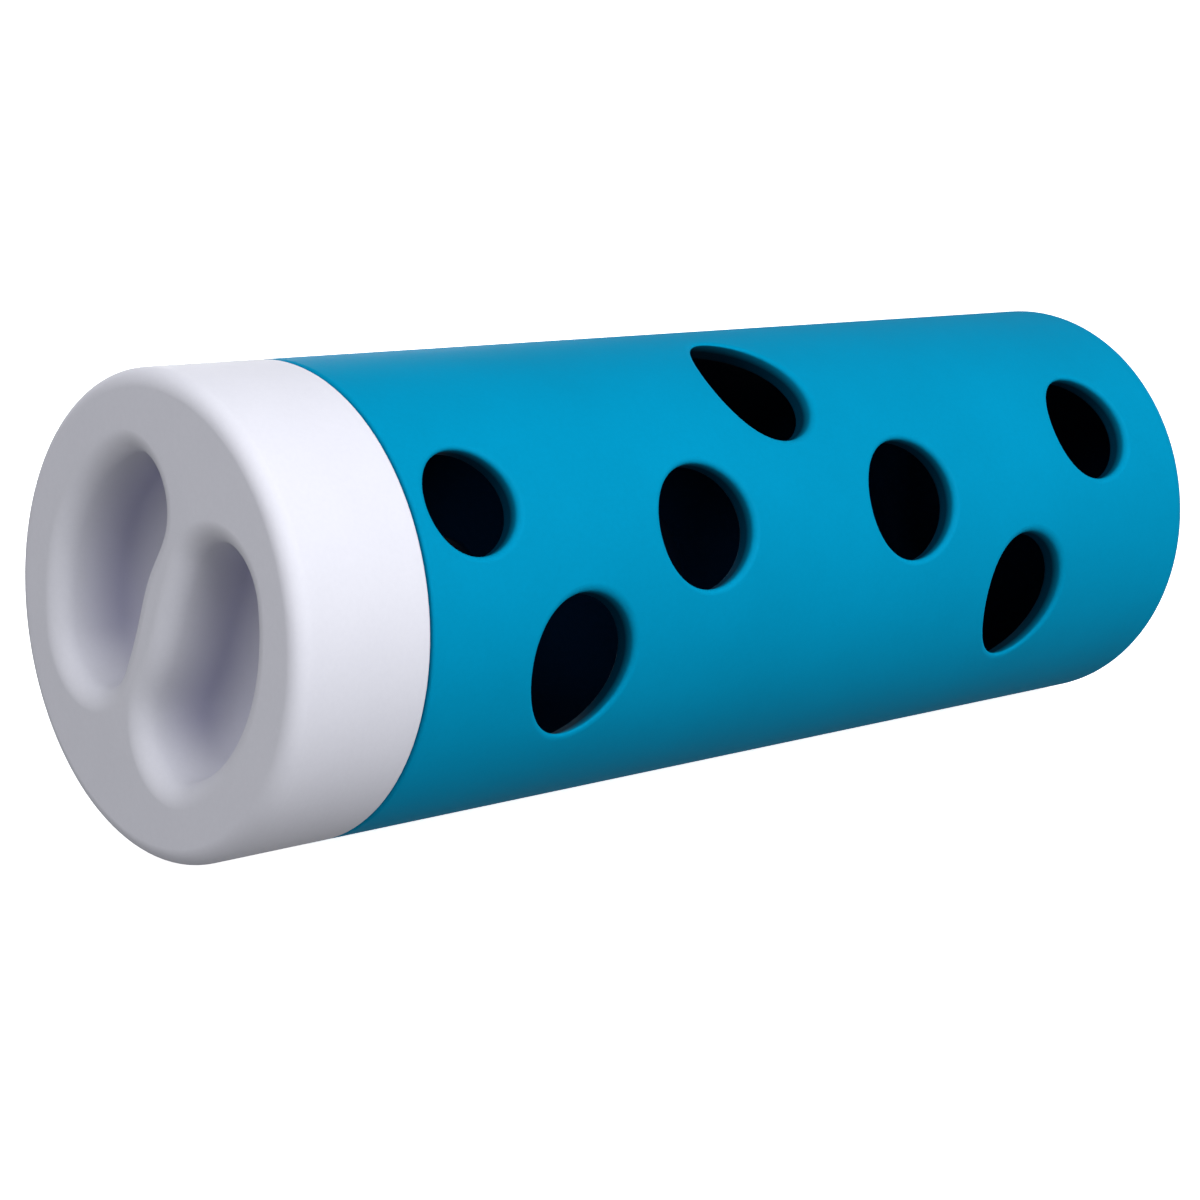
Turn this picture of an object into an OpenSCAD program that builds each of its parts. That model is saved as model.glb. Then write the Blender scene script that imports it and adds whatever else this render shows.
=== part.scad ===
// Treat dispensing roll: a perforated tube that a pet rolls along the floor, closed by a twist-lock lid.
// The roll lies along X with its lid at -X. The origin is on the floor, under the middle of the roll.

/* [Roll] */
// Outer diameter of the roll and of its lid
roll_d = 60; // [56:0.5:75]
// Overall length, from the lid's face to the closed end
roll_l = 166.3; // [150:0.1:220]
// Wall of the tube
wall_t = 2.5; // [2:0.1:3.2]
// Thickness of the closed end
end_t = 3; // [2:0.1:5]
// Rounding of the closed end's outer edge
end_r = 2.4; // [1:0.1:4]
// Rounding inside the closed end
end_inner_r = 4; // [1:0.1:6]
// Turn of the roll about its own axis, as it lies on the floor
roll_turn = 16.1; // [0:0.1:45]

/* [Dispensing holes] */
// Seven bores cross the tube in one direction, each [place, height, diameter]:
// place as a share of the tube's length behind the seam, height off the axis as a share of its radius
bores = [
    [0.0623, 0.213, 13.4],
    [0.1664, -0.477, 16.4],
    [0.3138, 0, 16.3],
    [0.4472, 0.592, 15.8],
    [0.582, 0, 16.8],
    [0.7468, -0.497, 16.2],
    [0.8679, 0.236, 15.6]
];

/* [Lid] */
// Length of the lid, from its face to the seam
lid_l = 19.1; // [17:0.1:26]
// Rounding of the lid's front rim
rim_r = 2.3; // [1:0.1:4]
// Rounding inside the lid's front rim
rim_inner_r = 1.5; // [0.5:0.1:2.5]
// Wall of the lid's skirt
skirt_t = 2.5; // [1.8:0.1:3]
// Wall of the lid's face and of its finger pockets
face_t = 2.2; // [1.6:0.1:3]
// Small rounding of the two edges that meet at the seam
seam_r = 0.5; // [0.2:0.1:0.8]
// Open seam between lid and tube
seam_gap = 0.3; // [0.2:0.05:0.6]

/* [Finger pockets] */
// Direction of the first pocket from the lid's middle, seen from outside and counted from the right
pocket_angle = 147; // [0:1:360]
// Distance of a pocket's straight inner wall from the axis
pocket_inner = 3.9; // [3.2:0.1:5]
// Radius of a pocket's two round ends
pocket_end_r = 6.4; // [5.5:0.1:7.5]
// How far the middle of a pocket's curved outer wall stands out beyond its round ends
pocket_bulge = 3.5; // [1:0.1:5]
// How far a pocket sits off the line through the lid's middle, anticlockwise seen from outside
pocket_shift = 0.8; // [0:0.1:2]
// Clearance between a pocket's far end, with its wall, and the bore of the neck
pocket_clear = 1.4; // [0.5:0.1:4]
// Depth of a pocket
pocket_depth = 13; // [8:0.1:13.5]
// Rounding from the lid's face into a pocket
pocket_lip_r = 3; // [2:0.1:4]
// Rounding between wall and floor of a pocket
pocket_floor_r = 4.5; // [2:0.1:5]
// How much a pocket's wall leans in between its two roundings
pocket_draft = 0.8; // [0.2:0.1:1]

/* [Neck and twist lock] */
// Length of the neck in front of the seam
neck_l = 13.5; // [11:0.1:14.5]
// Wall of the neck
neck_t = 2.4; // [2:0.1:2.6]
// Radial clearance between neck and skirt
neck_clear = 0.3; // [0.2:0.05:0.5]
// Number of lugs in the skirt
lug_count = 3; // [2:1:4]
// Width of a lug, in degrees round the axis
lug_arc = 16; // [10:1:20]
// Length of a lug along the axis
lug_l = 3; // [2:0.1:4]
// How far a lug stands into its groove
lug_in = 1; // [0.6:0.1:1.2]
// Distance of the lugs from the seam
lug_from_seam = 4.5; // [3:0.1:6]
// Clearance round a lug in its groove
lug_clear = 0.3; // [0.2:0.05:0.5]
// Turn between locked and open
lock_turn = 50; // [30:1:60]

/* [Hidden] */
$fn = 96;
roll_r = roll_d / 2;
bore_r = roll_r - wall_t;
seam = lid_l + seam_gap;
skirt_r = roll_r - skirt_t;
neck_r = skirt_r - neck_clear;
mouth_r = neck_r - neck_t;
neck_tip = seam - neck_l;
tube_l = roll_l - seam;
// inside the tube, the neck's bore widens to the tube's bore behind the shoulder
shoulder_t = 1.5;
flare_l = bore_r - mouth_r;
groove_r = skirt_r - lug_in - lug_clear;
lug_near = seam - lug_from_seam - lug_l;
clear_arc = lug_clear / neck_r * 180 / PI;
past = 1;

// Round ends of a pocket: they touch its straight inner wall, and the far one keeps clear of the neck
pocket_reach = mouth_r - pocket_clear - face_t;
end_x = pocket_inner + pocket_end_r;
end_y = sqrt(pow(pocket_reach - pocket_end_r, 2) - pow(end_x, 2)) - pocket_shift;
// Outer arc of a pocket, tangent to both round ends
belly_lean = (pow(end_y, 2) + pow(pocket_bulge, 2)) / (2 * pocket_bulge);
belly_r = pocket_end_r + belly_lean;
belly_x = end_x + pocket_bulge - belly_lean;
belly_half = atan2(end_y, end_x - belly_x);
belly_steps = 12;
end_steps = 12;
outline_points = belly_steps + 2 * end_steps + 1;
lip_steps = 5;

// Lays a piece that was made along Z, from the lid's face upwards, down along X
module lay() translate([-roll_l / 2, 0, roll_r]) rotate([0, 90, 0]) children();

// A disc of a revolved piece between two heights, its outer edge rounded at the low and the high end
module band(r, low, high, low_r, high_r) {
    translate([0, low]) square([r - low_r, high - low]);
    translate([0, low + low_r]) square([r, high - high_r - low - low_r]);
    translate([0, low]) square([r - high_r, high - low]);
    if (low_r > 0) translate([r - low_r, low + low_r]) circle(low_r);
    if (high_r > 0) translate([r - high_r, high - high_r]) circle(high_r);
}

// Points of a pocket's outline, widened by w: outer arc, round end, straight inner wall, round end.
// The line from the lid's middle to the pocket lies along +X.
function on_arc(x, y, r, a) = [x + r * cos(a), y - pocket_shift + r * sin(a)];
function outline(w) = concat(
    [for (i = [0 : belly_steps - 1]) on_arc(belly_x, 0, belly_r + w, belly_half * (2 * i / belly_steps - 1))],
    [for (i = [0 : end_steps - 1])
        on_arc(end_x, end_y, pocket_end_r + w, belly_half + (180 - belly_half) * i / end_steps)],
    [[pocket_inner - w, end_y - pocket_shift]],
    [for (i = [0 : end_steps - 1])
        on_arc(end_x, -end_y, pocket_end_r + w, 180 + (180 - belly_half) * i / end_steps)]
);

// Rings of a pocket, each [height, widening]: lip rounding, leaning wall, floor rounding
function lip(a) = [pocket_lip_r * (1 - cos(a)), pocket_lip_r * (1 - sin(a))];
function floor_edge(a, grow) = [
    pocket_depth + grow - (pocket_floor_r + grow) * (1 - sin(a)),
    grow - pocket_draft - (pocket_floor_r + grow) * (1 - cos(a))
];
first_lip = lip(90 / lip_steps);
mouth_slope = (pocket_lip_r - first_lip[1]) / first_lip[0];
function pocket_rings() = concat(
    [[-past, pocket_lip_r + past * mouth_slope]],
    [for (i = [1 : lip_steps]) lip(90 * i / lip_steps)],
    [for (i = [0 : lip_steps]) floor_edge(90 * i / lip_steps, 0)]
);
// The outside of a pocket's wall, from inside the lid's face to below its floor
function well_rings() = concat(
    [[face_t / 2, face_t]],
    [[pocket_lip_r, face_t]],
    [for (i = [0 : lip_steps]) floor_edge(90 * i / lip_steps, face_t)]
);

// A solid lofted through rings of the pocket's outline
module loft(rings) {
    n = outline_points;
    last = len(rings) - 1;
    points = [for (ring = rings) for (p = outline(ring[1])) [p.x, p.y, ring[0]]];
    sides = [for (k = [0 : last - 1]) for (i = [0 : n - 1]) let (j = (i + 1) % n)
        each [[k * n + i, k * n + n + i, k * n + j], [k * n + j, k * n + n + i, k * n + n + j]]];
    ends = [[for (i = [0 : n - 1]) i], [for (i = [n - 1 : -1 : 0]) last * n + i]];
    polyhedron(points, concat(sides, ends));
}

// Both finger pockets, half a turn apart
module both_pockets(rings)
    for (half_turn = [0, 180]) rotate([0, 0, 270 - pocket_angle + half_turn]) loft(rings);

// A ring segment from angle a0 over arc, between two radii and two heights
module segment(a0, arc, r0, r1, low, high)
    rotate([0, 0, a0]) rotate_extrude(angle = arc) translate([r0, low]) square([r1 - r0, high - low]);

// Tube with closed end, neck, twist-lock grooves and the crossing bores
module roll_body() color([0, 0.6, 0.8]) lay() rotate([0, 0, -roll_turn]) difference() {
    rotate_extrude() difference() {
        union() {
            band(roll_r, seam, roll_l, seam_r, end_r);
            band(neck_r, neck_tip, seam + past, 0, 0);
        }
        band(mouth_r, neck_tip - past, seam + shoulder_t + past, 0, 0);
        translate([0, seam + shoulder_t]) polygon([
            [0, 0],
            [mouth_r, 0],
            [bore_r, flare_l],
            [bore_r, flare_l + past],
            [0, flare_l + past]
        ]);
        band(bore_r, seam + shoulder_t + flare_l, roll_l - end_t, 0, end_inner_r);
    }
    for (b = bores) translate([-b[1] * roll_r, 0, seam + b[0] * tube_l]) rotate([90, 0, 0])
        cylinder(d = b[2], h = 2 * roll_d, center = true);
    for (i = [0 : lug_count - 1]) rotate([0, 0, 360 * i / lug_count]) lock_groove();
}

// One L-shaped groove: a run for the lug's turn, and the way in from the neck's tip at its open end
module lock_groove() {
    segment(-lock_turn - lug_arc / 2 - clear_arc, lock_turn + lug_arc + 2 * clear_arc,
        groove_r, roll_r, lug_near - lug_clear, lug_near + lug_l + lug_clear);
    segment(-lock_turn - lug_arc / 2 - clear_arc, lug_arc + 2 * clear_arc,
        groove_r, roll_r, neck_tip - past, lug_near + lug_l);
}

// Cap with skirt, two finger pockets and the lugs of the twist lock
module lid() color("whitesmoke") lay() difference() {
    union() {
        rotate_extrude() difference() {
            band(roll_r, 0, lid_l, rim_r, seam_r);
            band(skirt_r, face_t, lid_l + past, rim_inner_r, 0);
        }
        both_pockets(well_rings());
        for (i = [0 : lug_count - 1]) rotate([0, 0, 360 * i / lug_count - roll_turn])
            segment(-lug_arc / 2, lug_arc, skirt_r - lug_in, skirt_r + skirt_t / 2, lug_near, lug_near + lug_l);
    }
    both_pockets(pocket_rings());
}

roll_body();
lid();
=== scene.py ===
import math

import bmesh
import bpy
from mathutils import Matrix, Vector
from mathutils.geometry import delaunay_2d_cdt


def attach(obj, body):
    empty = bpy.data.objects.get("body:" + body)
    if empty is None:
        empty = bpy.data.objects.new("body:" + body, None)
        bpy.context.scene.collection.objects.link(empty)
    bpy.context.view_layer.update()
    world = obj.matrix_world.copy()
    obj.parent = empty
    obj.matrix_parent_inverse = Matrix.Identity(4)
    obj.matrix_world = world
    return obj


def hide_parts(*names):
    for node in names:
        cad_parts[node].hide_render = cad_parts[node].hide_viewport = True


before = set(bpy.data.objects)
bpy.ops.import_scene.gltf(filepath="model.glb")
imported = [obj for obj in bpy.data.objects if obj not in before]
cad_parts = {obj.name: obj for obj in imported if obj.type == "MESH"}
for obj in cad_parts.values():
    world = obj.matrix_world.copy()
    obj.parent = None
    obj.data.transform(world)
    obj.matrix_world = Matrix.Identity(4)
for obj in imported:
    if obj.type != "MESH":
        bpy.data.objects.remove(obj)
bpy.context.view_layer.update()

# A treat dispensing roll: a perforated blue tube and a white lid with two finger pockets.
# Shapes are worked out in millimetres. "Along" is the distance from the lid's face along the roll's axis,
# and a turn about the axis is counted from the front (-Y) upwards.
PER_METRE = 1000
TAU = 2 * math.pi
QUARTER = math.pi / 2

# Sizes of the tube, as in the part's source. Only its wall is thicker, as the photograph's holes show it
ROLL_R = 30.0
ROLL_L = 166.3
BORE_R = 26.7
END_T = 3.0
END_R = 2.4
END_INNER_R = 4.0
ROLL_TURN = math.radians(16.1)

# Sizes of the lid
LID_L = 19.1
RIM_R = 2.3
RIM_INNER_R = 1.5
SKIRT_R = 27.5
FACE_T = 2.2
SEAM_R = 0.5
SEAM_GAP = 0.3
SEAM = LID_L + SEAM_GAP

# Sizes of the finger pockets, with an outline nearer to the photograph than the one in the part's source.
# It is set out with the pocket's middle along X: the centres and radii of its two round ends, the radius of
# its outer arc, how far and how lopsided its inner wall swells into it, and its reach from the axis
POCKET_ANGLE = math.radians(147.0)
POCKET_LOW_END = (10.4, -9.23, 6.2)
POCKET_HIGH_END = (9.5, 10.1, 7.1)
POCKET_BELLY_R = 21.95
POCKET_WAIST = 0.7
POCKET_WAIST_LEAN = 1.5
POCKET_REACH = 21.2
POCKET_DEPTH = 13.0
POCKET_LIP_R = 3.0
POCKET_FLOOR_R = 4.5
POCKET_DRAFT = 0.8

# Sizes of the neck and its twist lock
NECK_R = 27.2
NECK_L = 13.5
NECK_TIP = SEAM - NECK_L
MOUTH_R = 24.8
SHOULDER_T = 1.5
FLARE_FROM = SEAM + SHOULDER_T
FLARE_TO = FLARE_FROM + BORE_R - MOUTH_R
GROOVE_R = 26.2
LUG_COUNT = 3
LUG_HALF = math.radians(8.0)
LUG_L = 3.0
LUG_IN = 1.0
LUG_R = SKIRT_R - LUG_IN
LUG_FROM_SEAM = 4.5
LUG_NEAR = SEAM - LUG_FROM_SEAM - LUG_L
LUG_CLEAR = 0.3
GROOVE_HALF = LUG_HALF + LUG_CLEAR / NECK_R
LOCK_TURN = math.radians(50.0)
LUG_TURNS = [ROLL_TURN - QUARTER + TAU * i / LUG_COUNT for i in range(LUG_COUNT)]

# The dispensing bores: place as a share of the tube's length, height as a share of its radius, diameter
BORE_SHARES = (
    (0.0623, 0.213, 13.4),
    (0.1664, -0.477, 16.4),
    (0.3138, 0.0, 16.3),
    (0.4472, 0.592, 15.8),
    (0.582, 0.0, 16.8),
    (0.7468, -0.497, 16.2),
    (0.8679, 0.236, 15.6),
)
BORES = [(place * (ROLL_L - SEAM), height * ROLL_R, width) for place, height, width in BORE_SHARES]
HOLE_LIP_R = 0.95
HOLE_INNER_LIP_R = 0.4

# Shade painted on the hole walls: how far below the tube's outside it begins and is full, and its strength
NEAR_HOLE_SHADE = (0.4, 1.6, 0.9)
FAR_HOLE_SHADE = (0.1, 0.8, 1.0)

# Shade painted in the pockets: the depths where it begins and is full, the depth from which it fades
# again towards the floor, and how much it fades on the floor and where a wall faces up to the lights
POCKET_SHADE_FROM = 4.0
POCKET_SHADE_FULL = 6.5
POCKET_FADE_FROM = 9.0
POCKET_FLOOR_FADE = 0.7
POCKET_UPWARD_FADE = 0.9

# Fineness of the meshes: steps round the axis, along the tube, round the holes and in the roundings
COLUMNS = 120
SKIN_ROWS = 48
INNER_ROWS = 40
HOLE_AROUND = 72
HOLE_LIP_STEPS = 8
SMALL_EDGE_STEPS = 6
END_STEPS = 10
END_INNER_STEPS = 8
RIM_STEPS = 14
FLOOR_STEPS = 12
POCKET_ARC_STEPS = 40
POCKET_WALL_STEPS = 20

# Radii of the rings that divide the closed end, and the room that points keep from a hole's lip and,
# as a share of a step round the axis, from an edge of the twist lock
END_RINGS = (18.0, 9.0, 0)
END_INNER_RINGS = (12.0, 0)
HOLE_CLEAR = 0.8
EDGE_CLEAR = 0.2

# Distance in metres within which points are welded, and in millimetres on a flat sheet
WELD = 2e-6
SHEET_WELD = 1e-7

# Play in millimetres when a place is looked up
NEAR = 0.003
SLACK = 0.01
SHADE_SLACK = 0.1

# Exact normals: edges above this angle stay sharp, and only faces that point nearly the same way take one
SHARP_ANGLE = math.radians(40)
SAME_WAY = 0.8

# Grain of the plastic: features to the metre, and the depth of its bumps in metres
CLOUDS = 38.0
RIPPLES = 170.0
SPECKS = 1700.0
GRAIN_DEPTH = 0.00006

# The photograph's camera: where it stands, in metres, where it looks, and its lens
VIEW_PLACE = (-0.257475, -0.270631, 0.085586)
VIEW_TURN = math.radians(-42.41)
VIEW_LIFT = math.radians(9.52)
VIEW_LENS = 81.08
VIEW_SENSOR = 36.0
VIEW_CLIP = 0.01

# The world's glow, and how much brighter it is from behind and from the far end
GLOW = 0.2
BACK_GLOW = 0.25


class Wire:
    """A socket of a node tree. Sums on it are written in plain Python and become Math nodes."""

    def __init__(self, tree, socket=None):
        self.tree = tree
        self.socket = socket

    def node(self, kind, settings=None, values=None, output=0):
        """Adds a node, sets its settings and then its sockets, and gives one of its outputs."""
        made = self.tree.nodes.new(kind)
        for name, value in (settings or {}).items():
            setattr(made, name, value)
        for key, value in (values or {}).items():
            if isinstance(value, Wire):
                self.tree.links.new(value.socket, made.inputs[key])
            else:
                made.inputs[key].default_value = value
        return Wire(self.tree, made.outputs[output] if made.outputs else None)

    def other(self, output):
        """Another output of the same node."""
        return Wire(self.tree, self.socket.node.outputs[output])

    def math(self, operation, *values):
        return self.node("ShaderNodeMath", {"operation": operation}, dict(enumerate(values)))

    def __add__(self, value):
        return self.math("ADD", self, value)

    def __sub__(self, value):
        return self.math("SUBTRACT", self, value)

    def __rsub__(self, value):
        return self.math("SUBTRACT", value, self)

    def __mul__(self, value):
        return self.math("MULTIPLY", self, value)

    def __truediv__(self, value):
        return self.math("DIVIDE", self, value)

    def __rtruediv__(self, value):
        return self.math("DIVIDE", value, self)

    __radd__ = __add__
    __rmul__ = __mul__

    def sin(self):
        return self.math("SINE", self)

    def cos(self):
        return self.math("COSINE", self)

    def root(self):
        return self.math("SQRT", self)

    def between(self, low, high):
        """0 up to low, 1 from high on, and straight between them."""
        return self.node(
            "ShaderNodeMapRange",
            {"clamp": True},
            {"Value": self, "From Min": low, "From Max": high, "To Min": 0.0, "To Max": 1.0},
        )


# Places and curves

def at(along, y, z):
    """A place in millimetres from the lid's face and from the axis, as metres in the part's frame."""
    return Vector(((along - ROLL_L / 2) / PER_METRE, y / PER_METRE, (ROLL_R + z) / PER_METRE))


def measured(place):
    """The way back: along, y, z and the distance from the axis, in millimetres."""
    y, z = place.y * PER_METRE, place.z * PER_METRE - ROLL_R
    return place.x * PER_METRE + ROLL_L / 2, y, z, math.hypot(y, z)


def round_axis(along, radius, turn):
    """The place at a radius and a turn about the axis."""
    return at(along, -radius * math.cos(turn), radius * math.sin(turn))


def inner_radius(along):
    """Radius inside the tube: the neck's bore, its flare, then the tube's bore."""
    share = (along - FLARE_FROM) / (FLARE_TO - FLARE_FROM)
    return MOUTH_R + (BORE_R - MOUTH_R) * min(max(share, 0.0), 1.0)


def even_steps(count, start, end):
    """Evenly spaced values from start to end, both included."""
    return [start + (end - start) * i / count for i in range(count + 1)]


def quarter_round(along, out, r_along, r_out, count):
    """Places on a quarter circle about a centre, from straight out to straight along."""
    return [(along + r_along * math.sin(a), out + r_out * math.cos(a)) for a in even_steps(count, 0, QUARTER)]


def soft_step(value, start, end):
    """0 up to start, 1 from end on, and an S-curve between them."""
    share = min(max((value - start) / (end - start), 0.0), 1.0)
    return share * share * (3 - 2 * share)


def near(value, target):
    """Whether two lengths are the same but for rounding."""
    return abs(value - target) < NEAR


def columns(edges):
    """Turns of the mesh's columns round the axis: even steps, and one at every edge of a lug or groove."""
    turns = {round(i * TAU / COLUMNS, 9) for i in range(COLUMNS)}
    for edge in edges:
        edge = round(edge % TAU, 9)
        turns = {t for t in turns if abs(t - edge) > EDGE_CLEAR * TAU / COLUMNS}
        turns.add(edge)
    return sorted(turns)


def within(turn, start, end):
    """Whether a turn lies between two others, all taken round the circle."""
    return (turn - start) % TAU < (end - start) % TAU


class Shell:
    """Collects the faces of one piece and welds them into a closed mesh."""

    def __init__(self, turns):
        self.turns = turns
        self.spans = list(zip(turns, turns[1:] + turns[:1]))
        self.faces = []

    def span_face(self, a0, r0, a1, r1, span):
        """A face from one place of a profile to the next, over one span of turns."""
        t0, t1 = span
        low = [round_axis(a0, r0, t0), round_axis(a0, r0, t1)]
        high = [round_axis(a1, r1, t1), round_axis(a1, r1, t0)] if r1 else [round_axis(a1, 0, t0)]
        self.faces.append(low + high)

    def bands(self, profile):
        """A turned surface through [along, radius] places; a radius of 0 closes it at the axis."""
        for (a0, r0), (a1, r1) in zip(profile, profile[1:]):
            for span in self.spans:
                self.span_face(a0, r0, a1, r1, span)

    def stepped(self, rows, plain, level):
        """A bore or neck with steps: level(along, turn) gives each cell's radius, and walls join them."""
        cells = [
            [level((a0 + a1) / 2, t0 + ((t1 - t0) % TAU) / 2) for t0, t1 in self.spans]
            for a0, a1 in zip(rows, rows[1:])
        ]
        beyond = cells[1:] + [[plain] * len(self.spans)]
        for a0, a1, line, next_line in zip(rows, rows[1:], cells, beyond):
            for k, span in enumerate(self.spans):
                r, side, ahead = line[k], line[(k + 1) % len(line)], next_line[k]
                self.span_face(a0, r, a1, r, span)
                if side != r:
                    corners = ((a0, r), (a0, side), (a1, side), (a1, r))
                    self.faces.append([round_axis(a, radius, span[1]) for a, radius in corners])
                if ahead != r:
                    self.span_face(a1, r, a1, ahead, span)
        return cells[0]

    def sheet(self, points, loops, place):
        """A flat sheet through points, cut out inside each loop of point numbers, then set in its place."""
        edges = [(loop[i - 1], loop[i]) for loop in loops for i in range(len(loop))]
        loop_of = {p: k for k, loop in enumerate(loops) for p in loop}
        flat = [Vector(p) for p in points]
        whole_hull = 0
        spots, _, triangles, source, _, _ = delaunay_2d_cdt(flat, edges, [], whole_hull, SHEET_WELD)
        for triangle in triangles:
            marks = {loop_of.get(source[v][0], -1) if source[v] else -1 for v in triangle}
            if len(marks) == 1 and -1 not in marks:
                continue
            self.faces.append([place(*spots[v]) for v in triangle])

    def closed_rings(self, rings):
        """A surface through rings of places, with the last ring filled."""
        for low, high in zip(rings, rings[1:]):
            for i in range(len(low)):
                self.faces.append([low[i - 1], low[i], high[i], high[i - 1]])
        self.faces.append(list(rings[-1]))

    def piece(self, name, more=()):
        """Welds the faces, and those of other meshes, into one object with its faces pointing outwards."""
        mesh = bpy.data.meshes.new(name)
        bm = bmesh.new()
        bm.verts.layers.float.new("edge")
        for part in more:
            bm.from_mesh(part)
        for face in self.faces:
            made = bm.faces.new([bm.verts.new(p) for p in face])
            made.smooth = True
        bmesh.ops.remove_doubles(bm, verts=bm.verts, dist=WELD)
        bmesh.ops.dissolve_degenerate(bm, dist=WELD, edges=bm.edges)
        bmesh.ops.recalc_face_normals(bm, faces=bm.faces)
        bm.to_mesh(mesh)
        bm.free()
        piece = bpy.data.objects.new(name, mesh)
        bpy.context.collection.objects.link(piece)
        return piece


def true_normals(piece, normal_at):
    """Gives flat and turned surfaces their exact normals, so that long triangles shade evenly."""
    mesh = piece.data
    mesh.set_sharp_from_angle(angle=SHARP_ANGLE)
    exact = [normal_at(*measured(vertex.co)) for vertex in mesh.vertices]
    corners = [Vector((0, 0, 0))] * len(mesh.loops)
    for face in mesh.polygons:
        for corner in face.loop_indices:
            normal = exact[mesh.loops[corner].vertex_index]
            if normal and normal.dot(face.normal) > SAME_WAY:
                corners[corner] = normal
    mesh.normals_split_custom_set(corners)


def paint_inner_shade(piece, shade_at):
    """Stores painted shade for a piece: how far each place lies in the shade of its inside, which the finish
    paints darker.
    """
    inside = piece.data.attributes.new("inside", "FLOAT", "POINT")
    for vertex, mark in zip(piece.data.vertices, inside.data):
        mark.value = shade_at(vertex)


# Geometry Nodes: the mouths of the dispensing holes

def hole_tree():
    """One lipped, straight-walled mouth for each point: outer lip, wall along the pull, small inner lip."""
    tree = bpy.data.node_groups.new("dispensing_holes", "GeometryNodeTree")
    sizes = {
        "Tube radius": "NodeSocketFloat",
        "Tube bore": "NodeSocketFloat",
        "Neck bore": "NodeSocketFloat",
        "Flare from": "NodeSocketFloat",
        "Flare to": "NodeSocketFloat",
        "Lip": "NodeSocketFloat",
        "Inner lip": "NodeSocketFloat",
        "Turn": "NodeSocketFloat",
        "Half length": "NodeSocketFloat",
        "Around": "NodeSocketInt",
        "Lip steps": "NodeSocketInt",
        "Finish": "NodeSocketMaterial",
    }
    tree.interface.new_socket("Holes", in_out="INPUT", socket_type="NodeSocketGeometry")
    for name, kind in sizes.items():
        tree.interface.new_socket(name, in_out="INPUT", socket_type=kind)
    tree.interface.new_socket("Mouths", in_out="OUTPUT", socket_type="NodeSocketGeometry")
    start = Wire(tree).node("NodeGroupInput", output="Holes")
    size = {name: start.other(name) for name in sizes}
    told = {
        name: start.node("GeometryNodeInputNamedAttribute", {"data_type": "FLOAT"}, {"Name": name})
        for name in ("place", "height", "radius", "side")
    }

    # a square of cells, one way round the hole and the other way down its wall
    steps = size["Lip steps"]
    wall_rows = 2
    rows = steps * 2 + wall_rows
    patch = start.node(
        "GeometryNodeMeshGrid",
        None,
        {"Size X": 1.0, "Size Y": 1.0, "Vertices X": size["Around"] + 1, "Vertices Y": rows + 1},
    )
    spread = start.node("GeometryNodeInstanceOnPoints", None, {"Points": start, "Instance": patch})
    mouths = spread.node("GeometryNodeRealizeInstances", None, {"Geometry": spread})
    cell = start.node("ShaderNodeSeparateXYZ", None, {0: start.node("GeometryNodeInputPosition")})
    turn = (cell + 0.5) * TAU
    row = (cell.other(1) + 0.5) * rows

    # how far each row is round the outer lip, down the wall and round the inner lip
    outer = row.between(0.0, steps) * QUARTER
    wall = row.between(steps, steps + wall_rows)
    inner = row.between(steps + wall_rows, rows) * QUARTER
    lip, inner_lip = size["Lip"], size["Inner lip"]
    ring = told["radius"] + lip * (1 - outer.sin()) + inner_lip * (1 - inner.cos())
    along = told["place"] + ring * turn.cos()
    height = told["height"] + ring * turn.sin()
    flare = along.between(size["Flare from"], size["Flare to"])
    bore = size["Neck bore"] + (size["Tube bore"] - size["Neck bore"]) * flare
    top = (size["Tube radius"] * size["Tube radius"] - height * height).root() - lip * (1 - outer.cos())
    bottom = (bore * bore - height * height).root() + inner_lip * (1 - inner.sin())
    out = (top + (bottom - top) * wall) * told["side"]
    place = start.node(
        "ShaderNodeCombineXYZ",
        None,
        {
            0: (along - size["Half length"]) / PER_METRE,
            1: (height * size["Turn"].sin() - out * size["Turn"].cos()) / PER_METRE,
            2: (height * size["Turn"].cos() + out * size["Turn"].sin() + size["Tube radius"]) / PER_METRE,
        },
    )
    # the middle of each outer lip is marked: the finish paints it a little paler, a painted highlight, and
    # smoother
    marked = mouths.node(
        "GeometryNodeStoreNamedAttribute",
        {"data_type": "FLOAT", "domain": "POINT"},
        {"Geometry": mouths, "Name": "edge", "Value": (outer * 2).sin()},
    )
    placed = mouths.node("GeometryNodeSetPosition", None, {"Geometry": marked, "Position": place})
    welded = placed.node("GeometryNodeMergeByDistance", None, {"Geometry": placed, "Distance": WELD})
    smooth = welded.node("GeometryNodeSetShadeSmooth", None, {"Geometry": welded})
    finished = smooth.node("GeometryNodeSetMaterial", None, {"Geometry": smooth, "Material": size["Finish"]})
    finished.node("NodeGroupOutput", None, {"Mouths": finished})
    return tree


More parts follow.
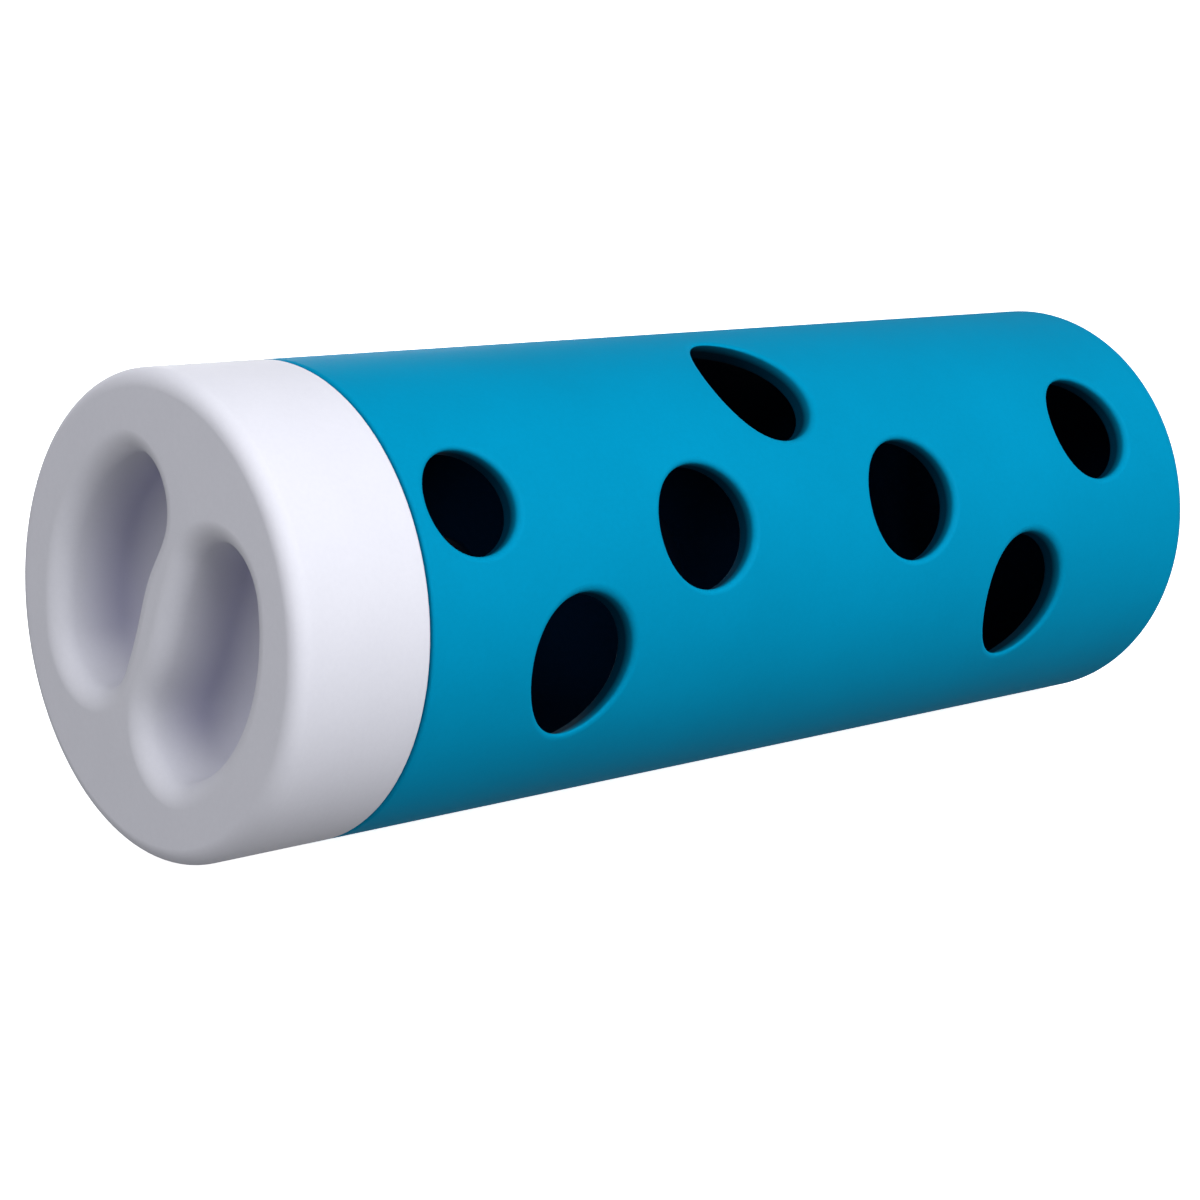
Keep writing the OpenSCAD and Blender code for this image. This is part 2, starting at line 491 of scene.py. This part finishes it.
def hole_mouths(finish):
    """The mesh of all hole mouths, near and far, made by the tree from one point for each."""
    mesh = bpy.data.meshes.new("hole_points")
    told = {"place": [], "height": [], "radius": [], "side": []}
    for place, height, width in BORES:
        for side in (1.0, -1.0):
            told["place"].append(SEAM + place)
            told["height"].append(height)
            told["radius"].append(width / 2)
            told["side"].append(side)
    mesh.from_pydata([(0, 0, 0)] * len(told["side"]), [], [])
    for name, values in told.items():
        mesh.attributes.new(name, "FLOAT", "POINT").data.foreach_set("value", values)
    holder = bpy.data.objects.new("hole_points", mesh)
    bpy.context.collection.objects.link(holder)
    tree = hole_tree()
    modifier = holder.modifiers.new("holes", "NODES")
    modifier.node_group = tree
    wanted = {
        "Tube radius": ROLL_R,
        "Tube bore": BORE_R,
        "Neck bore": MOUTH_R,
        "Flare from": FLARE_FROM,
        "Flare to": FLARE_TO,
        "Lip": HOLE_LIP_R,
        "Inner lip": HOLE_INNER_LIP_R,
        "Turn": ROLL_TURN,
        "Half length": ROLL_L / 2,
        "Around": HOLE_AROUND,
        "Lip steps": HOLE_LIP_STEPS,
        "Finish": finish,
    }
    for socket in tree.interface.items_tree:
        if socket.in_out == "INPUT" and socket.name in wanted:
            modifier[socket.identifier] = wanted[socket.name]
    ready = holder.evaluated_get(bpy.context.evaluated_depsgraph_get())
    mouths = bpy.data.meshes.new_from_object(ready)
    bpy.data.objects.remove(holder)
    return mouths


# The tube

def tube_sheet(shell, radius_at, lip, start, end, rows):
    """One skin of the tube, unrolled flat, cut out at all hole mouths and laid round the axis again."""
    flat_r = radius_at(end)
    first = -QUARTER
    points, loops = [], []
    for place, height, width in BORES:
        for far in (False, True):
            loop = []
            for i in range(HOLE_AROUND):
                turn = TAU * i / HOLE_AROUND
                along = SEAM + place + (width / 2 + lip) * math.cos(turn)
                lean = math.asin((height + (width / 2 + lip) * math.sin(turn)) / radius_at(along))
                loop.append(len(points))
                points.append((along, (math.pi - lean if far else lean) * flat_r))
            loops.append(loop)

    def free(along, lean):
        height = radius_at(along) * math.sin(lean)
        return all(
            math.hypot(along - SEAM - place, height - middle) > width / 2 + lip + HOLE_CLEAR
            for place, middle, width in BORES
        )

    leans = sorted((t - ROLL_TURN - first) % TAU + first for t in shell.turns)
    for along in rows:
        on_edge = along in (start, end)
        for lean in leans + [first + TAU]:
            if on_edge or lean in (first, first + TAU) or free(along, lean):
                points.append((along, lean * flat_r))
    shell.sheet(
        points,
        loops,
        lambda along, across: round_axis(along, radius_at(along), across / flat_r + ROLL_TURN),
    )


def lock_level(along, turn):
    """Radius of the neck's outside: the neck itself, or a twist-lock groove's bottom."""
    for locked in LUG_TURNS:
        opened = locked + LOCK_TURN
        in_run = LUG_NEAR - LUG_CLEAR < along < LUG_NEAR + LUG_L + LUG_CLEAR
        if in_run and within(turn, locked - GROOVE_HALF, opened + GROOVE_HALF):
            return GROOVE_R
        if along < LUG_NEAR + LUG_L and within(turn, opened - GROOVE_HALF, opened + GROOVE_HALF):
            return GROOVE_R
    return NECK_R


def painted_tube_shade(vertex):
    """Painted shade: how far a place lies in the shade of the tube's inside or of a hole's wall, more so on
    the far side.
    """
    along, _, _, r = measured(vertex.co)
    if not FLARE_FROM - SHADE_SLACK < along < ROLL_L - END_T + SHADE_SLACK:
        return 0.0
    begins, full, strength = FAR_HOLE_SHADE if vertex.co.y > 0 else NEAR_HOLE_SHADE
    wall = strength * (1 - soft_step(r, ROLL_R - full, ROLL_R - begins))
    return max(wall, 1 - soft_step(r, BORE_R, BORE_R + HOLE_INNER_LIP_R))


def make_tube(finish):
    """The tube with its neck, holes and closed end, as one closed mesh."""
    edges = [ROLL_TURN - QUARTER]
    for locked in LUG_TURNS:
        opened = locked + LOCK_TURN
        edges += [locked - GROOVE_HALF, opened - GROOVE_HALF, opened + GROOVE_HALF]
    shell = Shell(columns(edges))

    # outer skin, closed end and the edge at the seam
    skin_from, skin_to = SEAM + SEAM_R, ROLL_L - END_R
    skin_rows = even_steps(SKIN_ROWS, skin_from, skin_to)
    tube_sheet(shell, lambda along: ROLL_R, HOLE_LIP_R, skin_from, skin_to, skin_rows)
    end_edge = quarter_round(skin_to, ROLL_R - END_R, END_R, END_R, END_STEPS)
    shell.bands(end_edge + [(ROLL_L, r) for r in END_RINGS])
    seam_edge = quarter_round(skin_from, ROLL_R - SEAM_R, -SEAM_R, SEAM_R, SMALL_EDGE_STEPS)
    shell.bands(seam_edge + [(SEAM, NECK_R)])

    # neck with its twist-lock grooves
    rows = [NECK_TIP, LUG_NEAR - LUG_CLEAR, LUG_NEAR + LUG_L, LUG_NEAR + LUG_L + LUG_CLEAR, SEAM]
    tip = shell.stepped(rows, NECK_R, lock_level)
    for span, r in zip(shell.spans, tip):
        if r == NECK_R:
            shell.span_face(NECK_TIP, NECK_R, NECK_TIP, GROOVE_R, span)
    shell.bands([(NECK_TIP, GROOVE_R), (NECK_TIP, MOUTH_R), (FLARE_FROM, MOUTH_R)])

    # inner skin and the inside of the closed end
    inner_to = ROLL_L - END_T - END_INNER_R
    inner_rows = [FLARE_FROM] + even_steps(INNER_ROWS, FLARE_TO, inner_to)
    tube_sheet(shell, inner_radius, HOLE_INNER_LIP_R, FLARE_FROM, inner_to, inner_rows)
    inner_edge = quarter_round(inner_to, BORE_R - END_INNER_R, END_INNER_R, END_INNER_R, END_INNER_STEPS)
    shell.bands(inner_edge + [(ROLL_L - END_T, r) for r in END_INNER_RINGS])
    tube = shell.piece("perforated_tube", [hole_mouths(finish)])

    def normal_at(along, y, z, r):
        if near(r, ROLL_R) and skin_from - SLACK < along < skin_to + SLACK:
            return Vector((0, y, z)) / r
        if near(r, BORE_R) and FLARE_TO + SLACK < along < inner_to + SLACK:
            return Vector((0, -y, -z)) / r
        if near(along, ROLL_L):
            return Vector((1, 0, 0))
        return None

    true_normals(tube, normal_at)
    paint_inner_shade(tube, painted_tube_shade)
    return tube


# The lid

def pocket_arcs():
    """Centre of a pocket's outer arc, which touches both round ends, and the way the inner wall faces."""
    low, high = Vector(POCKET_LOW_END[:2]), Vector(POCKET_HIGH_END[:2])
    length = (high - low).length
    ahead = (high - low) / length
    aside = Vector((-ahead.y, ahead.x))
    to_low = POCKET_BELLY_R - POCKET_LOW_END[2]
    to_high = POCKET_BELLY_R - POCKET_HIGH_END[2]
    along = (to_low ** 2 - to_high ** 2 + length ** 2) / (2 * length)
    belly = low + ahead * along + aside * math.sqrt(to_low ** 2 - along ** 2)
    lean = (POCKET_LOW_END[2] - POCKET_HIGH_END[2]) / length
    facing = ahead * lean + aside * math.sqrt(1 - lean ** 2)
    return belly, math.atan2(facing.y, facing.x) % TAU


BELLY, WALL_TURN = pocket_arcs()


def pocket_outline(widened, turn):
    """Points of a pocket's outline across the lid: outer arc, round end, swelling inner wall, round end."""
    low_x, low_y, low_r = POCKET_LOW_END
    high_x, high_y, high_r = POCKET_HIGH_END
    low_turn = math.atan2(low_y - BELLY.y, low_x - BELLY.x)
    high_turn = math.atan2(high_y - BELLY.y, high_x - BELLY.x)
    points = []

    def add(x, y, r, a):
        points.append((x + (r + widened) * math.cos(a), y + (r + widened) * math.sin(a)))

    def run(x, y, r, start, end):
        for a in even_steps(POCKET_ARC_STEPS, start, end)[:-1]:
            add(x, y, r, a)

    run(BELLY.x, BELLY.y, POCKET_BELLY_R, low_turn, high_turn)
    run(high_x, high_y, high_r, high_turn, WALL_TURN)
    for done in even_steps(POCKET_WALL_STEPS, 0, 1)[:-1]:
        swell = POCKET_WAIST * math.sin(math.pi * done ** POCKET_WAIST_LEAN) ** 2
        add(
            high_x + (low_x - high_x) * done + swell,
            high_y + (low_y - high_y) * done,
            high_r + (low_r - high_r) * done,
            WALL_TURN,
        )
    run(low_x, low_y, low_r, WALL_TURN - TAU, low_turn)
    c, s = math.cos(turn), math.sin(turn)
    return [(x * c - y * s, x * s + y * c) for x, y in points]


def face_place(along):
    """Sets a point seen on the lid's face, counted to the right and up, in its place at a depth."""
    return lambda right, up: at(along, -right, up)


def pocket_rings(levels, turn):
    """Rings of places round a pocket, one for each [depth, widening]."""
    return [[face_place(along)(*p) for p in pocket_outline(widened, turn)] for along, widened in levels]


def lid_face(shell, along, radius, widened):
    """The flat of the lid's face, outside or inside, cut out at both pockets."""
    points = [(radius * math.cos(t), radius * math.sin(t)) for t in shell.turns]
    loops = []
    for half_turn in (0, math.pi):
        outline = pocket_outline(widened, POCKET_ANGLE + half_turn)
        loops.append(list(range(len(points), len(points) + len(outline))))
        points += outline
    shell.sheet(points, loops, face_place(along))


def lug_level(along, turn):
    """Radius of the skirt's inside: the skirt itself, or a lug's top."""
    for middle in LUG_TURNS:
        if LUG_NEAR < along < LUG_NEAR + LUG_L and within(turn, middle - LUG_HALF, middle + LUG_HALF):
            return LUG_R
    return SKIRT_R


def floor_edge(grown):
    """The rounding between a pocket's wall and its floor, or of its wall's outside, as [depth, widening]."""
    r = POCKET_FLOOR_R + grown
    return quarter_round(POCKET_DEPTH + grown - r, grown - POCKET_DRAFT - r, r, r, FLOOR_STEPS)


def painted_pocket_shade(vertex):
    """Painted shade: how far a place lies in the shade between a pocket's lip and its floor, painted lighter
    where it faces up.
    """
    along, _, _, r = measured(vertex.co)
    if r > POCKET_REACH + POCKET_LIP_R:
        return 0.0
    shade = soft_step(along, POCKET_SHADE_FROM, POCKET_SHADE_FULL)
    shade *= 1 - POCKET_FLOOR_FADE * soft_step(along, POCKET_FADE_FROM, POCKET_DEPTH)
    return shade * (1 - POCKET_UPWARD_FADE * max(0.0, vertex.normal.z))


def make_lid():
    """The lid with its skirt, lugs and finger pockets, as one closed mesh."""
    edges = []
    for middle in LUG_TURNS:
        edges += [middle - LUG_HALF, middle + LUG_HALF]
    shell = Shell(columns(edges))

    # skirt and rim outside
    seam_edge = quarter_round(LID_L - SEAM_R, ROLL_R - SEAM_R, SEAM_R, SEAM_R, SMALL_EDGE_STEPS)[::-1]
    rim = quarter_round(RIM_R, ROLL_R - RIM_R, -RIM_R, RIM_R, RIM_STEPS)
    shell.bands([(LID_L, SKIRT_R)] + seam_edge + rim)
    lid_face(shell, 0.0, ROLL_R - RIM_R, POCKET_LIP_R)

    # skirt, lugs and face inside
    inside = FACE_T + RIM_INNER_R
    shell.stepped([LID_L, LUG_NEAR + LUG_L, LUG_NEAR, inside], SKIRT_R, lug_level)
    shell.bands(quarter_round(inside, SKIRT_R - RIM_INNER_R, -RIM_INNER_R, RIM_INNER_R, SMALL_EDGE_STEPS))
    lid_face(shell, FACE_T, SKIRT_R - RIM_INNER_R, FACE_T)

    # finger pockets, and their wells on the inside
    lip = quarter_round(POCKET_LIP_R, POCKET_LIP_R, -POCKET_LIP_R, -POCKET_LIP_R, RIM_STEPS)[::-1]
    well = [(FACE_T, FACE_T), (POCKET_LIP_R, FACE_T)] + floor_edge(FACE_T)
    for half_turn in (0, math.pi):
        turn = POCKET_ANGLE + half_turn
        shell.closed_rings(pocket_rings(lip + floor_edge(0.0), turn))
        shell.closed_rings(pocket_rings(well, turn))
    lid = shell.piece("twist_lid")

    def normal_at(along, y, z, r):
        if near(r, ROLL_R) and RIM_R - SLACK < along < LID_L - SEAM_R + SLACK:
            return Vector((0, y, z)) / r
        if near(along, 0.0) or near(along, POCKET_DEPTH):
            return Vector((-1, 0, 0))
        return None

    true_normals(lid, normal_at)
    paint_inner_shade(lid, painted_pocket_shade)
    return lid


# Finishes

def new_finish(name):
    """A new material without nodes, and a wire to build them from."""
    finish = bpy.data.materials.new(name)
    finish.use_nodes = True
    finish.node_tree.nodes.clear()
    return finish, Wire(finish.node_tree)


def finish_plastic(name, deep, pale, painted_shade, rough, grain):
    """Matt moulded plastic: faint clouds in colour and gloss, a fine eroded grain, edges rubbed smoother and
    painted paler as a highlight, painted shade inside.
    """
    finish, start = new_finish(name)
    where = start.node("ShaderNodeTexCoord", output="Object")

    def noise(scale, detail):
        return start.node("ShaderNodeTexNoise", None, {"Vector": where, "Scale": scale, "Detail": detail})

    clouds, ripple, specks = noise(CLOUDS, 3.0), noise(RIPPLES, 2.0), noise(SPECKS, 2.0)
    edge = start.node("ShaderNodeAttribute", {"attribute_name": "edge"}, output="Fac")
    # colour clouds at random, and the marked hole lips a little paler: a painted highlight
    shade = (clouds * 0.55 + ripple * 0.15 + specks * 0.3 + edge * 0.1).between(0.3, 0.75)
    colour = start.node("ShaderNodeMix", {"data_type": "RGBA"}, {0: shade, 6: deep, 7: pale}, output=2)
    # the inside mark mixes towards the darker colour: painted shade in the tube, its holes and the pockets
    inside = start.node("ShaderNodeAttribute", {"attribute_name": "inside"}, output="Fac")
    colour = start.node("ShaderNodeMix", {"data_type": "RGBA"}, {0: inside, 6: colour, 7: painted_shade}, output=2)
    height = specks * 0.75 + ripple * 0.25
    bump = start.node("ShaderNodeBump", None, {"Strength": grain, "Distance": GRAIN_DEPTH, "Height": height})
    gloss = rough + (clouds - 0.5) * 0.12 + (specks - 0.5) * 0.1 - edge * 0.06
    skin = start.node(
        "ShaderNodeBsdfPrincipled",
        None,
        {"Base Color": colour, "Roughness": gloss, "Normal": bump, "IOR": 1.45, "Specular IOR Level": 0.01},
    )
    skin.node("ShaderNodeOutputMaterial", None, {"Surface": skin})
    return finish


# Stage, camera and light

def pale_stage():
    """A pale floor, in metres, that curves up all round into a low backdrop."""
    mesh = bpy.data.meshes.new("pale_floor")
    bm = bmesh.new()
    flat, curve, top, around, curve_steps = 1.6, 0.9, 2.2, 64, 12
    profile = [(0.35, 0.0), (0.8, 0.0), (flat, 0.0)]
    for a in even_steps(curve_steps, 0, QUARTER)[1:]:
        profile.append((flat + curve * math.sin(a), curve * (1 - math.cos(a))))
    profile.append((flat + curve, top))
    turns = [TAU * i / around for i in range(around)]
    rings = [[bm.verts.new((r * math.cos(t), r * math.sin(t), z)) for t in turns] for r, z in profile]
    bm.faces.new(rings[0])
    for low, high in zip(rings, rings[1:]):
        for i in range(around):
            bm.faces.new([low[i - 1], low[i], high[i], high[i - 1]]).smooth = True
    bmesh.ops.recalc_face_normals(bm, faces=bm.faces)
    bm.to_mesh(mesh)
    bm.free()
    floor = bpy.data.objects.new("pale_floor", mesh)
    bpy.context.collection.objects.link(floor)
    finish, start = new_finish("pale_floor")
    where = start.node("ShaderNodeTexCoord", output="Object")
    mottle = start.node("ShaderNodeTexNoise", None, {"Vector": where, "Scale": 9.0, "Detail": 2.0})
    colour = start.node(
        "ShaderNodeMix",
        {"data_type": "RGBA"},
        {0: mottle, 6: (0.86, 0.86, 0.87, 1), 7: (0.88, 0.88, 0.89, 1)},
        output=2,
    )
    paint = start.node(
        "ShaderNodeBsdfPrincipled",
        None,
        {"Base Color": colour, "Roughness": 0.9, "Emission Color": (1, 1, 1, 1), "Emission Strength": 0.9},
    )
    paint.node("ShaderNodeOutputMaterial", None, {"Surface": paint})
    mesh.materials.append(finish)
    # the backdrop is only seen: it throws no light up at the roll and stops none
    floor.visible_diffuse = False
    floor.visible_glossy = False
    floor.visible_shadow = False


def place_camera():
    """The viewing angle of the photograph: close in front of the lid, a little above."""
    ahead = math.cos(VIEW_LIFT)
    back = Vector((math.sin(VIEW_TURN) * ahead, -math.cos(VIEW_TURN) * ahead, math.sin(VIEW_LIFT)))
    right = Vector((math.cos(VIEW_TURN), math.sin(VIEW_TURN), 0))
    up = back.cross(right)
    data = bpy.data.cameras.new("view")
    data.sensor_width = VIEW_SENSOR
    data.lens = VIEW_LENS
    data.clip_start = VIEW_CLIP
    camera = bpy.data.objects.new("view", data)
    turned = Matrix((right, up, back)).transposed().to_4x4()
    camera.matrix_world = Matrix.Translation(VIEW_PLACE) @ turned
    bpy.context.collection.objects.link(camera)
    bpy.context.scene.camera = camera


def soft_light(name, direction, width, power):
    """A round soft light, one metre from the roll's middle."""
    data = bpy.data.lights.new(name, "AREA")
    data.shape = "DISK"
    data.size = width
    data.energy = power
    lamp = bpy.data.objects.new(name, data)
    away = Vector(direction).normalized()
    lamp.location = at(ROLL_L / 2, 0, 0) + away
    lamp.rotation_euler = away.to_track_quat("Z", "Y").to_euler()
    bpy.context.collection.objects.link(lamp)


def studio_light():
    """Soft lights that follow the photograph's shading, one for the back, and a faint glow all round."""
    soft_light("key", direction=(0.0, -0.895, 0.446), width=1.0, power=12.8)
    soft_light("upper_fill", direction=(-0.545, -0.254, 0.799), width=0.8, power=4.0)
    soft_light("lid_fill", direction=(-0.996, 0.0, 0.087), width=0.8, power=1.8)
    soft_light("low_fill", direction=(-0.453, -0.785, -0.423), width=0.6, power=0.7)
    soft_light("back_fill", direction=(0.3, 0.92, 0.24), width=0.8, power=6.0)
    world = bpy.data.worlds.new("studio")
    world.use_nodes = True
    world.node_tree.nodes.clear()
    start = Wire(world.node_tree)
    way = start.node("ShaderNodeSeparateXYZ", None, {0: start.node("ShaderNodeTexCoord", output="Generated")})
    glow = GLOW + (way * 0.7 + way.other(1) * 0.7).between(0.0, 0.9) * BACK_GLOW
    sky = start.node("ShaderNodeBackground", None, {"Color": (1, 1, 1, 1), "Strength": glow})
    sky.node("ShaderNodeOutputWorld", None, {"Surface": sky})
    bpy.context.scene.world = world
    bpy.context.scene.view_settings.view_transform = "Standard"


place_camera()
# each finish's darker colour is painted shade: inside the tube, on the hole walls and in the pockets
blue = finish_plastic(
    "matt_blue_plastic",
    deep=(0.0, 0.195, 0.352, 1),
    pale=(0.0, 0.222, 0.404, 1),
    painted_shade=(0.0, 0.006, 0.02, 1),
    rough=0.55,
    grain=0.25,
)
white = finish_plastic(
    "matt_white_plastic",
    deep=(0.56, 0.565, 0.63, 1),
    pale=(0.60, 0.605, 0.67, 1),
    painted_shade=(0.45, 0.45, 0.575, 1),
    rough=0.5,
    grain=0.2,
)

tube = make_tube(blue)
lid = make_lid()
for piece, finish in ((tube, blue), (lid, white)):
    piece.data.materials.clear()
    piece.data.materials.append(finish)

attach(tube, "roll")
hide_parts("roll_body")
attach(lid, "lid")
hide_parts("lid")

pale_stage()
studio_light()
